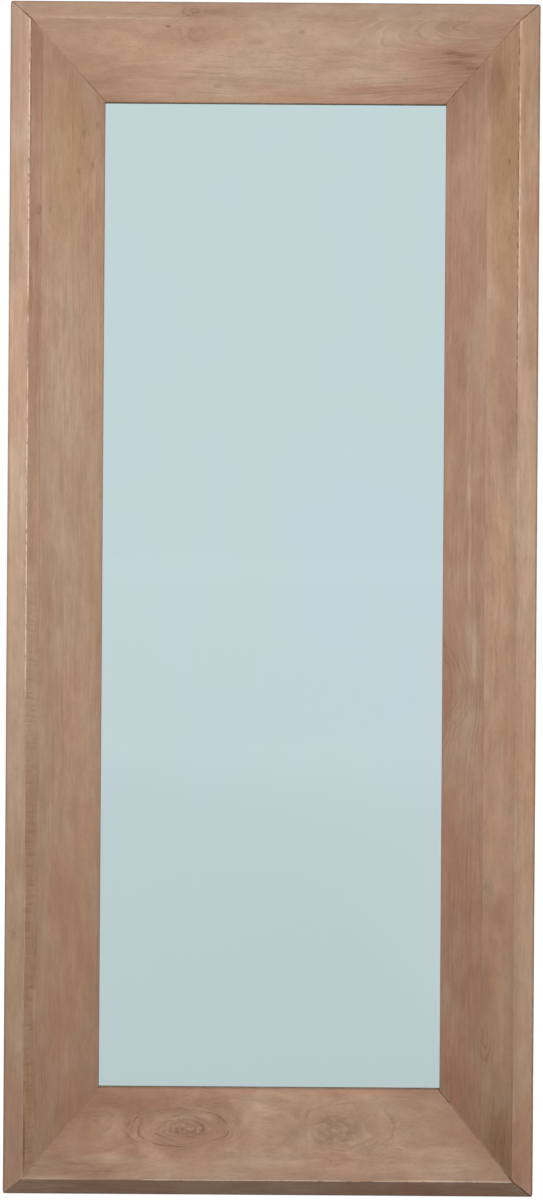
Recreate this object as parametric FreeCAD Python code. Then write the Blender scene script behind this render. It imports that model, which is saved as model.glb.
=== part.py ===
import FreeCAD, Part

import math
import os

# A tall wall or leaning mirror in a deep, mitred frame of solid planks.
# The frame is 800 x 1800 mm outside. Its section climbs from the sides to a sharp ridge close to
# the outer edge, and from the ridge a wide flat face slopes down and in to the glass.
#
# Frame of the model, in millimetres: X to the right as the mirror is seen from the front, +Z up,
# and the front faces -Y. The origin is the middle of the foot, halfway through the depth.
#
# Every rail is drawn in its own section: u is the distance in from the outer edge of the frame,
# v is the height above the back, and s runs along the rail.

# Frame section
FRAME_WIDTH = 800.0
FRAME_HEIGHT = 1800.0
FRAME_DEPTH = 85.0          # from the back to the ridge, before its arris is eased
RAIL_WIDTH = 134.5          # from the outer edge to the sight edge at the glass
RIDGE_SETBACK = 31.0        # from the outer edge in to the ridge
BEVEL_DROP = 16.0           # how far the outer bevel falls from the ridge to the side
LIP_THICKNESS = 3.5         # wood in front of the glass at the sight edge
GLASS_REBATE_WIDTH = 12.0   # overlap of the lip on the glass
BOARD_REBATE_WIDTH = 28.0   # from the sight edge out to the end of the backing board's step
OUTER_EDGE_ROUND = 3.0
BACK_EDGE_ROUND = 1.5
RIDGE_ROUND = 1.2
LIP_ROUND = 1.0
CORNER_ROUND = 6.0          # the frame's four outer corners, seen from the front

# Where the two planks of each stile meet, as a share of the rail's width from the outer edge
LEFT_GLUE_SHARE = 0.368
RIGHT_GLUE_SHARE = 0.5725

# What the back of the frame holds
GLASS_THICKNESS = 4.0
FOAM_THICKNESS = 2.0        # as pressed between the pane and the backing board
BOARD_THICKNESS = 4.0
BOARD_RECESS = 2.0          # the board lies this far in from the back
BOARD_EDGE_GAP = 1.0
GLASS_EDGE_GAP = 3.0        # filled by the setting blocks and packers
BLOCK_LENGTH = 40.0
BLOCK_PLACE_SHARE = 0.25    # blocks stand this share of a side in from each corner of the pane

# Dowels across each mitre
DOWEL_RADIUS = 5.0
DOWEL_CHAMFER = 1.0
DOWEL_FIT = 0.1             # radial clearance for glue
DOWEL_END_GAP = 1.0
OUTER_DOWEL_LENGTH_SHARE = 0.446   # of the rail's width
INNER_DOWEL_LENGTH_SHARE = 0.342
OUTER_DOWEL_PLACE_SHARE = 0.45     # along the mitre, of the rail's width
INNER_DOWEL_PLACE_SHARE = 0.68
OUTER_DOWEL_HEIGHT_SHARE = 0.38    # above the back, of the frame's depth
INNER_DOWEL_HEIGHT_SHARE = 0.22

# Steel corner plates, let in flush with the back
PLATE_ARM = 115.0
PLATE_WIDTH = 22.0
PLATE_THICKNESS = 2.0
PLATE_INSET_SHARE = 0.335   # from the outer edge to the middle of an arm, of the rail's width
PLATE_END_ROUND = 6.0
PLATE_HEEL_ROUND = 3.0
PLATE_CREVICE_ROUND = 2.0
PLATE_FIT = 0.3             # gap round a plate in its recess
PLATE_HOLE_END = 13.0       # from an arm's end to its outer screw
PLATE_HOLE_PITCH = 48.0

# Countersunk screws: radius of the head, its height, radius of the shank, length, and the point
PLATE_SCREW = {"head": 3.6, "sink": 2.4, "shank": 1.75, "length": 17.0, "point": 4.0}
BOARD_SCREW = {"head": 3.4, "sink": 2.2, "shank": 1.6, "length": 16.0, "point": 4.0}
HANGER_SCREW = {"head": 3.9, "sink": 2.5, "shank": 2.0, "length": 32.0, "point": 5.0}
SCREW_FIT = 0.05            # radial, in wood
SCREW_HOLE_FIT = 0.25       # radial, in plate, strap and board
BOARD_SCREW_END = 70.0      # from a corner of the board to the first screw along an edge
BOARD_SCREW_PITCH = 300.0   # the most between two screws

# Strap hangers with swinging D-rings, each in a routed pocket
HANGER_INSET_SHARE = 0.208  # from the outer edge to the strap's middle, of the rail's width
HANGER_DROP = 300.0         # from the top of the frame down to the ring's bar
POCKET_DEPTH = 9.0
POCKET_WIDTH = 34.0
POCKET_ROUND = 6.0          # left by the cutter
POCKET_FOOT_GAP = 4.0
HOOK_ROOM = 10.0            # above the ring when it points up
STRAP_THICKNESS = 1.5
STRAP_WIDTH = 16.0
STRAP_LENGTH = 58.0         # from the ring's bar to the end of the strap
STRAP_NECK = 7.0            # from the ring's bar to where the two leaves lie together
STRAP_FIRST_HOLE = 12.0     # from the ring's bar
STRAP_HOLE_PITCH = 18.0
STRAP_HOLES = 3
RING_WIRE_RADIUS = 1.9
RING_HALF_WIDTH = 12.0      # from the middle to the middle of a leg
RING_CORNER = 3.0
RING_LEG = 10.0
RING_FIT = 0.08             # radial, between the bar and the eye of the strap
RING_REST_GAP = 0.3         # between the hanging ring and its strap

OVERRUN = 3.0               # how far cutting shapes reach past what they cut

# Heights above the back, worked out from the layers
BOARD_REBATE_V = BOARD_RECESS + BOARD_THICKNESS
GLASS_BACK_V = BOARD_REBATE_V + FOAM_THICKNESS
GLASS_REBATE_V = GLASS_BACK_V + GLASS_THICKNESS
LIP_V = GLASS_REBATE_V + LIP_THICKNESS
SIDE_V = FRAME_DEPTH - BEVEL_DROP

# The sharp arris that the rounding of the ridge cuts away stands this much above its crown.
BEVEL_SLOPE = math.atan2(BEVEL_DROP, RIDGE_SETBACK)
FACE_SLOPE = math.atan2(FRAME_DEPTH - LIP_V, RAIL_WIDTH - RIDGE_SETBACK)
RIDGE_HALF_ANGLE = (math.pi - BEVEL_SLOPE - FACE_SLOPE) / 2
RIDGE_LEAN = (FACE_SLOPE - BEVEL_SLOPE) / 2
ARRIS_HEIGHT = RIDGE_ROUND * (math.cos(RIDGE_LEAN) / math.sin(RIDGE_HALF_ANGLE) - 1)
BACK_Y = (FRAME_DEPTH - ARRIS_HEIGHT) / 2

# Places across a rail, worked out from its width
LEFT_GLUE_LINE = LEFT_GLUE_SHARE * RAIL_WIDTH
RIGHT_GLUE_LINE = RIGHT_GLUE_SHARE * RAIL_WIDTH
PLATE_INSET = PLATE_INSET_SHARE * RAIL_WIDTH
HANGER_INSET = HANGER_INSET_SHARE * RAIL_WIDTH

# Ring and strap, worked out
HANGER_HEIGHT = FRAME_HEIGHT - HANGER_DROP
RING_REACH = RING_LEG + RING_HALF_WIDTH
EYE_BORE = RING_WIRE_RADIUS + RING_FIT
EYE_RADIUS = EYE_BORE + STRAP_THICKNESS
POCKET_FLOOR_Y = BACK_Y - POCKET_DEPTH
EYE_Y = POCKET_FLOOR_Y + EYE_RADIUS
RING_LIFT = 2 * STRAP_THICKNESS + RING_REST_GAP + RING_WIRE_RADIUS - EYE_RADIUS
RING_REST_TILT = math.degrees(math.asin(RING_LIFT / RING_REACH))

LEFT, RIGHT = -1, 1
BOTTOM, TOP = -1, 1


# Places and outlines

def vector(x, y, z):
    return FreeCAD.Vector(x, y, z)


def side_point(side, u, v, s):
    """A point of a rail's section in the model's own frame."""
    y = BACK_Y - v
    if side == "left":
        return vector(u - FRAME_WIDTH / 2, y, s)
    if side == "right":
        return vector(FRAME_WIDTH / 2 - u, y, s)
    if side == "top":
        return vector(s - FRAME_WIDTH / 2, y, FRAME_HEIGHT - u)
    return vector(s - FRAME_WIDTH / 2, y, u)


def side_length(side):
    return FRAME_HEIGHT if side in ("left", "right") else FRAME_WIDTH


def corner_point(across, up, p, v, q):
    """A point p in from a corner's stile edge and q in from its rail edge, v above the back."""
    z = FRAME_HEIGHT - q if up == TOP else q
    return vector(across * (FRAME_WIDTH / 2 - p), BACK_Y - v, z)


def rounded_wire(corners, place):
    """A closed wire through (a, b, radius) corners, each mapped into the model by place(a, b)."""
    spans = []
    count = len(corners)
    for i, (a, b, radius) in enumerate(corners):
        here = vector(a, b, 0)
        before = vector(corners[i - 1][0], corners[i - 1][1], 0) - here
        after = vector(corners[(i + 1) % count][0], corners[(i + 1) % count][1], 0) - here
        before.normalize()
        after.normalize()
        if radius == 0:
            spans.append((here, None, here))
            continue
        half = before.getAngle(after) / 2
        middle = before + after
        middle.normalize()
        centre = here + middle * (radius / math.sin(half))
        reach = radius / math.tan(half)
        spans.append((here + before * reach, centre - middle * radius, here + after * reach))
    edges = []
    for i, (start, crown, end) in enumerate(spans):
        if crown is not None:
            arc = arc_edge(place(start.x, start.y), place(crown.x, crown.y), place(end.x, end.y))
            edges.append(arc)
        following = spans[(i + 1) % count][0]
        edges.append(Part.makeLine(place(end.x, end.y), place(following.x, following.y)))
    return Part.Wire(edges)


def prism(corners, place, along):
    return Part.Face(rounded_wire(corners, place)).extrude(along)


def arc_edge(start, middle, end):
    return Part.Arc(start, middle, end).toShape()


def box_between(low, high):
    size = high - low
    return Part.makeBox(size.x, size.y, size.z, low)


# Screws

def screw(kind, head, direction, grow=0.0, above=0.0):
    """A countersunk screw whose flat head lies at the point head and which points along direction.
    As a cutting shape it is grown all round and starts a little above the surface."""
    rim = kind["head"] + grow
    shank = kind["shank"] + grow
    tip = kind["length"] + grow
    neck = kind["length"] - kind["point"]
    outline = [(0, -above), (rim, -above)]
    if above > 0:
        outline.append((rim, 0))
    outline += [(shank, kind["sink"]), (shank, neck), (0, tip)]
    points = [vector(r, 0, depth) for r, depth in outline]
    face = Part.Face(Part.makePolygon(points + points[:1]))
    body = face.revolve(vector(0, 0, 0), vector(0, 0, 1), 360)
    turn = FreeCAD.Rotation(vector(0, 0, 1), direction)
    body.Placement = FreeCAD.Placement(head, turn)
    return body


def screws(kind, heads):
    return [screw(kind, head, vector(0, -1, 0)) for head in heads]


def screw_holes(kind, heads, fit):
    return [screw(kind, head, vector(0, -1, 0), fit, OVERRUN) for head in heads]


# Where the screws go

def plate_arm_places():
    """Places of the screws along one arm, from the outer corner of the frame."""
    start = PLATE_INSET - PLATE_WIDTH / 2
    outermost = start + PLATE_ARM - PLATE_HOLE_END
    return [outermost, outermost - PLATE_HOLE_PITCH]


def plate_screw_heads(across, up):
    heads = []
    for place in plate_arm_places():
        heads.append(corner_point(across, up, PLATE_INSET, 0, place))
        heads.append(corner_point(across, up, place, 0, PLATE_INSET))
    return heads


def evenly(start, end, pitch):
    """Places from start to end, as few as keep the steps within pitch."""
    steps = max(1, math.ceil((end - start) / pitch))
    return [start + (end - start) * i / steps for i in range(steps + 1)]


def board_screw_heads():
    """Round the backing board, in the middle of the step that it lies on."""
    inset = RAIL_WIDTH - (BOARD_REBATE_WIDTH + GLASS_REBATE_WIDTH) / 2
    first = RAIL_WIDTH - BOARD_REBATE_WIDTH + BOARD_SCREW_END
    heads = []
    for side in ("left", "right", "top", "bottom"):
        for s in evenly(first, side_length(side) - first, BOARD_SCREW_PITCH):
            heads.append(side_point(side, inset, BOARD_RECESS, s))
    return heads


def hanger_x(across):
    return across * (FRAME_WIDTH / 2 - HANGER_INSET)


def hanger_screw_heads(across):
    y = POCKET_FLOOR_Y + 2 * STRAP_THICKNESS
    first = HANGER_HEIGHT - STRAP_FIRST_HOLE
    return [vector(hanger_x(across), y, first - STRAP_HOLE_PITCH * i) for i in range(STRAP_HOLES)]


# Wooden frame

def face_v(u):
    """Height of the sloping inner face above the back."""
    fall = (FRAME_DEPTH - LIP_V) / (RAIL_WIDTH - RIDGE_SETBACK)
    return FRAME_DEPTH - (u - RIDGE_SETBACK) * fall


def outer_corners():
    return [
        (0, 0, BACK_EDGE_ROUND),
        (0, SIDE_V, OUTER_EDGE_ROUND),
        (RIDGE_SETBACK, FRAME_DEPTH, RIDGE_ROUND),
    ]


def inner_corners():
    glass_wall = RAIL_WIDTH - GLASS_REBATE_WIDTH
    board_wall = RAIL_WIDTH - BOARD_REBATE_WIDTH
    return [
        (RAIL_WIDTH, LIP_V, LIP_ROUND),
        (RAIL_WIDTH, GLASS_REBATE_V, 0),
        (glass_wall, GLASS_REBATE_V, 0),
        (glass_wall, BOARD_REBATE_V, 0),
        (board_wall, BOARD_REBATE_V, 0),
        (board_wall, 0, 0),
    ]


def whole_section():
    return outer_corners() + inner_corners()


def ridge_stave_section(glue_line):
    return outer_corners() + [(glue_line, face_v(glue_line), 0), (glue_line, 0, 0)]


def inner_stave_section(glue_line):
    return [(glue_line, 0, 0), (glue_line, face_v(glue_line), 0)] + inner_corners()


def mitre_block(side):
    """Everything between the two mitre cuts of a rail."""
    length = side_length(side)
    outer = -OVERRUN
    inner = RAIL_WIDTH + OVERRUN
    corners = [
        (outer, outer, 0),
        (outer, length - outer, 0),
        (inner, length - inner, 0),
        (inner, inner, 0),
    ]

    def place(u, s):
        return side_point(side, u, -OVERRUN, s)

    through = vector(0, -(FRAME_DEPTH + 2 * OVERRUN), 0)
    return prism(corners, place, through)


def outline_block():
    """The whole frame's outline with its eased corners, right through its depth."""
    half = FRAME_WIDTH / 2
    corners = [(-half, 0), (half, 0), (half, FRAME_HEIGHT), (-half, FRAME_HEIGHT)]
    corners = [(x, z, CORNER_ROUND) for x, z in corners]

    def place(x, z):
        return vector(x, BACK_Y + OVERRUN, z)

    return prism(corners, place, vector(0, -(FRAME_DEPTH + 2 * OVERRUN), 0))


def mitred_plank(side, section, outline, cutters):
    def place(u, v):
        return side_point(side, u, v, 0)

    along = side_point(side, 0, 0, side_length(side)) - side_point(side, 0, 0, 0)
    plank = prism(section, place, along).common(mitre_block(side)).common(outline)
    return plank.cut(cutters)


# Dowels

def dowels(grow=0.0, end_gap=0.0):
    kinds = [
        (OUTER_DOWEL_PLACE_SHARE, OUTER_DOWEL_HEIGHT_SHARE, OUTER_DOWEL_LENGTH_SHARE),
        (INNER_DOWEL_PLACE_SHARE, INNER_DOWEL_HEIGHT_SHARE, INNER_DOWEL_LENGTH_SHARE),
    ]
    made = []
    for across in (LEFT, RIGHT):
        for up in (BOTTOM, TOP):
            for place_share, height_share, length_share in kinds:
                place = place_share * RAIL_WIDTH
                length = length_share * RAIL_WIDTH
                middle = corner_point(across, up, place, height_share * FRAME_DEPTH, place)
                axis = vector(across, 0, -up)
                axis.normalize()
                start = middle - axis * (length / 2 + end_gap)
                pin = Part.makeCylinder(DOWEL_RADIUS + grow, length + 2 * end_gap, start, axis)
                if grow == 0:
                    rims = [e for e in pin.Edges if isinstance(e.Curve, Part.Circle)]
                    pin = pin.makeChamfer(DOWEL_CHAMFER, rims)
                made.append(pin)
    return made


# Corner plates

def corner_plate(across, up, grow=0.0, above=0.0):
    """An L-shaped flat plate. Its recess is the same shape, grown all round."""
    low = PLATE_INSET - PLATE_WIDTH / 2 - grow
    bend = PLATE_INSET + PLATE_WIDTH / 2 + grow
    end = PLATE_INSET - PLATE_WIDTH / 2 + PLATE_ARM + grow
    corners = [
        (low, low, PLATE_HEEL_ROUND),
        (end, low, PLATE_END_ROUND),
        (end, bend, PLATE_END_ROUND),
        (bend, bend, PLATE_CREVICE_ROUND),
        (bend, end, PLATE_END_ROUND),
        (low, end, PLATE_END_ROUND),
    ]

    def place(p, q):
        return corner_point(across, up, p, -above, q)

    return prism(corners, place, vector(0, -(PLATE_THICKNESS + above), 0))


# Hangers

def pocket(across):
    """The routed pocket of a hanger, open to the back."""
    x = hanger_x(across)
    foot = HANGER_HEIGHT - STRAP_LENGTH - POCKET_FOOT_GAP
    head = HANGER_HEIGHT + RING_REACH + RING_WIRE_RADIUS + HOOK_ROOM
    half = POCKET_WIDTH / 2
    corners = [
        (x - half, foot, POCKET_ROUND),
        (x + half, foot, POCKET_ROUND),
        (x + half, head, POCKET_ROUND),
        (x - half, head, POCKET_ROUND),
    ]

    def place(a, b):
        return vector(a, POCKET_FLOOR_Y, b)

    return prism(corners, place, vector(0, POCKET_DEPTH + OVERRUN, 0))


def strap_side_view(x):
    """The folded strip seen from the side: an eye round the bar and two leaves lying together."""
    floor = POCKET_FLOOR_Y
    leaves = 2 * STRAP_THICKNESS
    neck = HANGER_HEIGHT - STRAP_NECK
    foot = HANGER_HEIGHT - STRAP_LENGTH

    # The neck's front line starts on the leaves and touches the eye from outside.
    drop = STRAP_NECK
    rise = leaves - EYE_RADIUS
    distance = math.hypot(drop, rise)
    aim = math.atan2(rise, -drop)
    spread = math.acos(EYE_RADIUS / distance)
    touch = aim - spread
    touch_y = EYE_Y + EYE_RADIUS * math.sin(touch)
    touch_z = HANGER_HEIGHT + EYE_RADIUS * math.cos(touch)

    outline = [
        vector(x, floor, foot),
        vector(x, floor, HANGER_HEIGHT),
        vector(x, EYE_Y, HANGER_HEIGHT),
        vector(x, touch_y, touch_z),
        vector(x, floor + leaves, neck),
        vector(x, floor + leaves, foot),
    ]
    return Part.Face(Part.makePolygon(outline + outline[:1]))


def strap(across):
    x = hanger_x(across)
    start = vector(x - STRAP_WIDTH / 2, 0, 0)
    width = vector(STRAP_WIDTH, 0, 0)
    leaves = strap_side_view(start.x).extrude(width)
    eye_middle = vector(start.x, EYE_Y, HANGER_HEIGHT)
    eye = Part.makeCylinder(EYE_RADIUS, STRAP_WIDTH, eye_middle, vector(1, 0, 0))
    bore_start = eye_middle - vector(OVERRUN, 0, 0)
    bore = Part.makeCylinder(EYE_BORE, STRAP_WIDTH + 2 * OVERRUN, bore_start, vector(1, 0, 0))

    # Seen from the back the strap ends in a half circle.
    half = STRAP_WIDTH / 2
    foot = HANGER_HEIGHT - STRAP_LENGTH
    head = HANGER_HEIGHT + EYE_RADIUS + OVERRUN
    ends = [
        Part.makeLine(vector(x - half, 0, foot + half), vector(x - half, 0, head)),
        Part.makeLine(vector(x - half, 0, head), vector(x + half, 0, head)),
        Part.makeLine(vector(x + half, 0, head), vector(x + half, 0, foot + half)),
        arc_edge(vector(x + half, 0, foot + half), vector(x, 0, foot), vector(x - half, 0, foot + half)),
    ]
    blank = Part.Face(Part.Wire(ends)).extrude(vector(0, BACK_Y + OVERRUN, 0))
    holes = screw_holes(HANGER_SCREW, hanger_screw_heads(across), SCREW_HOLE_FIT)
    return leaves.fuse(eye).common(blank).cut([bore] + holes).removeSplitter()


def ring(across):
    """A D of round wire whose straight bar lies in the eye, hanging down over its strap."""
    straight = RING_HALF_WIDTH - RING_CORNER
    slack = RING_CORNER * (1 - math.sqrt(0.5))
    half = RING_HALF_WIDTH
    path = Part.Wire([
        Part.makeLine(vector(-straight, 0, 0), vector(straight, 0, 0)),
        arc_edge(vector(straight, 0, 0), vector(half - slack, 0, -slack), vector(half, 0, -RING_CORNER)),
        Part.makeLine(vector(half, 0, -RING_CORNER), vector(half, 0, -RING_LEG)),
        arc_edge(vector(half, 0, -RING_LEG), vector(0, 0, -RING_REACH), vector(-half, 0, -RING_LEG)),
        Part.makeLine(vector(-half, 0, -RING_LEG), vector(-half, 0, -RING_CORNER)),
        arc_edge(vector(-half, 0, -RING_CORNER), vector(slack - half, 0, -slack), vector(-straight, 0, 0)),
    ])
    wire = Part.Wire(Part.makeCircle(RING_WIRE_RADIUS, vector(-straight, 0, 0), vector(1, 0, 0)))
    made = path.makePipeShell([wire], True, True)
    made.rotate(vector(0, 0, 0), vector(1, 0, 0), RING_REST_TILT)
    made.translate(vector(hanger_x(across), EYE_Y, HANGER_HEIGHT))
    return made


# Pane and what packs it

PANE_EDGE = RAIL_WIDTH - GLASS_REBATE_WIDTH + GLASS_EDGE_GAP
BOARD_EDGE = RAIL_WIDTH - BOARD_REBATE_WIDTH + BOARD_EDGE_GAP


def sheet(edge, low_v, high_v):
    """A flat sheet whose four sides lie edge in from the outside of the frame."""
    low = corner_point(LEFT, BOTTOM, edge, high_v, edge)
    high = corner_point(RIGHT, TOP, edge, low_v, edge)
    return box_between(low, high)


def packer(side, share):
    """A block in the gap between an edge of the pane and the wall of its rebate."""
    pane = side_length(side) - 2 * PANE_EDGE
    middle = PANE_EDGE + pane * share
    inset = PANE_EDGE - GLASS_EDGE_GAP
    a = side_point(side, inset, GLASS_BACK_V, middle - BLOCK_LENGTH / 2)
    b = side_point(side, PANE_EDGE, GLASS_REBATE_V, middle + BLOCK_LENGTH / 2)
    low = vector(min(a.x, b.x), min(a.y, b.y), min(a.z, b.z))
    high = vector(max(a.x, b.x), max(a.y, b.y), max(a.z, b.z))
    return box_between(low, high)


def packers(sides):
    places = (BLOCK_PLACE_SHARE, 1 - BLOCK_PLACE_SHARE)
    return [packer(side, place) for side in sides for place in places]


# All the pieces

def wood_cutters():
    """Everything that is bored or let into the wood."""
    cutters = dowels(DOWEL_FIT, DOWEL_END_GAP)
    cutters += screw_holes(BOARD_SCREW, board_screw_heads(), SCREW_FIT)
    for across in (LEFT, RIGHT):
        cutters.append(pocket(across))
        cutters += screw_holes(HANGER_SCREW, hanger_screw_heads(across), SCREW_FIT)
        for up in (BOTTOM, TOP):
            cutters.append(corner_plate(across, up, PLATE_FIT, OVERRUN))
            cutters += screw_holes(PLATE_SCREW, plate_screw_heads(across, up), SCREW_FIT)
    return cutters


def near(side, cutters):
    """The cutters that reach into one side of the frame."""
    room = side_point(side, 0, 0, 0)
    far = side_point(side, RAIL_WIDTH, FRAME_DEPTH, side_length(side))
    region = FreeCAD.BoundBox(room, far)
    return [c for c in cutters if c.BoundBox.intersect(region)]


def build_parts():
    cutters = wood_cutters()
    outline = outline_block()
    parts = {}

    for side in ("top", "bottom"):
        tools = near(side, cutters)
        parts[side + "_rail"] = mitred_plank(side, whole_section(), outline, tools)

    for side, glue_line in (("left", LEFT_GLUE_LINE), ("right", RIGHT_GLUE_LINE)):
        tools = near(side, cutters)
        ridge_stave = mitred_plank(side, ridge_stave_section(glue_line), outline, tools)
        inner_stave = mitred_plank(side, inner_stave_section(glue_line), outline, tools)
        parts[side + "_stile_ridge_stave"] = ridge_stave
        parts[side + "_stile_inner_stave"] = inner_stave

    parts["mitre_dowels"] = Part.makeCompound(dowels())

    plate_screws = []
    for across, side in ((LEFT, "left"), (RIGHT, "right")):
        for up, end in ((BOTTOM, "bottom"), (TOP, "top")):
            heads = plate_screw_heads(across, up)
            holes = screw_holes(PLATE_SCREW, heads, SCREW_HOLE_FIT)
            parts["corner_plate_" + end + "_" + side] = corner_plate(across, up).cut(holes)
            plate_screws += screws(PLATE_SCREW, heads)
    parts["corner_plate_screws"] = Part.makeCompound(plate_screws)

    parts["mirror_glass"] = sheet(PANE_EDGE, GLASS_BACK_V, GLASS_REBATE_V)
    parts["foam_sheet"] = sheet(PANE_EDGE, BOARD_REBATE_V, GLASS_BACK_V)
    parts["setting_blocks"] = Part.makeCompound(packers(["bottom"]))
    parts["edge_packers"] = Part.makeCompound(packers(["left", "right", "top"]))

    board_heads = board_screw_heads()
    board_holes = screw_holes(BOARD_SCREW, board_heads, SCREW_HOLE_FIT)
    board = sheet(BOARD_EDGE, BOARD_RECESS, BOARD_REBATE_V)
    parts["backing_board"] = board.cut(board_holes)
    parts["backing_screws"] = Part.makeCompound(screws(BOARD_SCREW, board_heads))

    for across, side in ((LEFT, "left"), (RIGHT, "right")):
        parts[side + "_hanger_strap"] = strap(across)
        parts[side + "_hanger_ring"] = ring(across)
        heads = hanger_screw_heads(across)
        parts[side + "_hanger_screws"] = Part.makeCompound(screws(HANGER_SCREW, heads))
    return parts


def main():
    os.makedirs("parts", exist_ok=True)
    for name, shape in build_parts().items():
        solids = shape.Solids
        print(name, "solids", len(solids), "valid", shape.isValid(), "litres", round(shape.Volume / 1e6, 4))
        Part.makeCompound(solids).exportStep(os.path.join("parts", name + ".step"))
    print("ring hangs at", round(RING_REST_TILT, 3), "degrees from straight down")
    print("ring bar at x", hanger_x(RIGHT), "y", round(EYE_Y, 3), "z", HANGER_HEIGHT)
    print("pocket floor at y", POCKET_FLOOR_Y)


main()
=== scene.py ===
import math

import bpy
from mathutils import Matrix, Vector


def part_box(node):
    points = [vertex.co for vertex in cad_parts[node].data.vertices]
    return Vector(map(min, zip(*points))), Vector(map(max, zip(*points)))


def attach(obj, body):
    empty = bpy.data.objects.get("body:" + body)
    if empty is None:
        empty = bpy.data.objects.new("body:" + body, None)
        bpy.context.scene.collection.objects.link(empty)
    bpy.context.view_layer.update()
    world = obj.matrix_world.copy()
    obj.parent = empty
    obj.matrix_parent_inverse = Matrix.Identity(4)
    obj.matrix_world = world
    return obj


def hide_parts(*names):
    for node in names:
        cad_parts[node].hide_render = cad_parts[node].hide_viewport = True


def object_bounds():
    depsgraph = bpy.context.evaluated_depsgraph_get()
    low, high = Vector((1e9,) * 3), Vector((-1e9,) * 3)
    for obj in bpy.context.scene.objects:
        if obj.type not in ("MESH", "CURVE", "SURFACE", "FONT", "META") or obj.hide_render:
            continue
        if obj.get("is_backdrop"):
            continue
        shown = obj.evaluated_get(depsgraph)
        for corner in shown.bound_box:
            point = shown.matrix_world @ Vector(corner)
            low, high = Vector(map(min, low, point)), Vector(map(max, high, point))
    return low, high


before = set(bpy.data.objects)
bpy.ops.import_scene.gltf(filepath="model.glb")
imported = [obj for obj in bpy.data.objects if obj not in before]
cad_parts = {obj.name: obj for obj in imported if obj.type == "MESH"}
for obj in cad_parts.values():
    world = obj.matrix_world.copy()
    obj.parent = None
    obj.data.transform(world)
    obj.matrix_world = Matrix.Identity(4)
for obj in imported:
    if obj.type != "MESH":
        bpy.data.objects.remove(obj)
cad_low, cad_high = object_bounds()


# Top rail
# One plank with a small knot near its left end and an arched figure towards its right. It is
# mitred and glued to the stiles, and its matt finish is a thin whitish wash that the grain shows
# through. All the wood of the frame is finished like it.

RAIL_LOW, RAIL_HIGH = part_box("top_rail")
FRAME_WIDTH = RAIL_HIGH.x - RAIL_LOW.x
FRAME_HEIGHT = RAIL_HIGH.z
RAIL_WIDTH = RAIL_HIGH.z - RAIL_LOW.z
BACK_Y = RAIL_HIGH.y
RIDGE_SETBACK = 0.031
SIDE_DEPTH = 0.069


def put(tree, kind, inputs=None, **settings):
    """A new node with its settings, and with each input set to a value or linked to a socket."""
    made = tree.nodes.new("ShaderNode" + kind)
    for name, value in settings.items():
        setattr(made, name, value)
    for socket, value in (inputs or {}).items():
        if isinstance(value, bpy.types.NodeSocket):
            tree.links.new(value, made.inputs[socket])
        else:
            made.inputs[socket].default_value = value
    return made


def split(tree, vector):
    """The three parts of a vector."""
    return put(tree, "SeparateXYZ", {0: vector}).outputs


def vector_of(tree, *parts):
    return put(tree, "CombineXYZ", dict(enumerate(parts))).outputs[0]


def maths(tree, operation, *terms):
    return put(tree, "Math", dict(enumerate(terms)), operation=operation).outputs[0]


def times(tree, *factors):
    product = factors[0]
    for factor in factors[1:]:
        product = maths(tree, "MULTIPLY", product, factor)
    return product


def away_from(tree, value, line):
    """How far a value is from a line, on either side of it."""
    return maths(tree, "ABSOLUTE", maths(tree, "SUBTRACT", value, line))


def hypotenuse(tree, one, other):
    squares = maths(tree, "MULTIPLY_ADD", one, one, times(tree, other, other))
    return maths(tree, "SQRT", squares)


def fade(tree, value, start, end, low=0.0, high=1.0):
    """Low where the value is at start, high where it is at end, and an eased change between."""
    inputs = {"Value": value, "From Min": start, "From Max": end, "To Min": low, "To Max": high}
    return put(tree, "MapRange", inputs, interpolation_type="SMOOTHSTEP").outputs["Result"]


def tinted(tree, colour, amount, tint, blend="MIX"):
    """The colour with an amount of the tint over it."""
    made = put(tree, "Mix", {0: amount, 6: colour, 7: tint}, data_type="RGBA", blend_type=blend)
    return made.outputs[2]


def tinted_in_turn(tree, colour, coats):
    """The colour with one tone after another over it, each as strong as its mask and amount."""
    for mask, amount, tone in coats:
        colour = tinted(tree, colour, times(tree, mask, amount), tone)
    return colour


def noise(tree, place, scales, seed=0.0, detail=2.0, roughness=0.55, gives="Fac"):
    """Noise at a vector or at three parts, drawn out along the parts that have small scales."""
    if isinstance(place, tuple):
        place = vector_of(tree, *place)
    inputs = {0: place, 1: scales, 2: vector_of(tree, seed, seed, seed)}
    scaled = put(tree, "VectorMath", inputs, operation="MULTIPLY_ADD").outputs[0]
    inputs = {"Vector": scaled, "Scale": 1.0, "Detail": detail, "Roughness": roughness}
    return put(tree, "TexNoise", inputs).outputs[gives]


def new_group(name, takes, gives):
    """An empty node group with named inputs and outputs."""
    tree = bpy.data.node_groups.new(name, "ShaderNodeTree")
    for labels, way in ((takes, "INPUT"), (gives, "OUTPUT")):
        for label in labels:
            kind = "NodeSocketVector" if label in ("Vector", "Place") else "NodeSocketFloat"
            tree.interface.new_socket(label, in_out=way, socket_type=kind)
    return tree, tree.nodes.new("NodeGroupInput").outputs, tree.nodes.new("NodeGroupOutput").inputs


def give(tree, given, masks):
    """Puts each mask out at the group's output of that name."""
    for label, mask in masks.items():
        tree.links.new(mask, given[label])


def new_material(name):
    """A new material, its nodes, and the place on the object."""
    made = bpy.data.materials.new(name)
    made.use_nodes = True
    tree = made.node_tree
    return made, tree, put(tree, "TexCoord").outputs["Object"]


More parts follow.
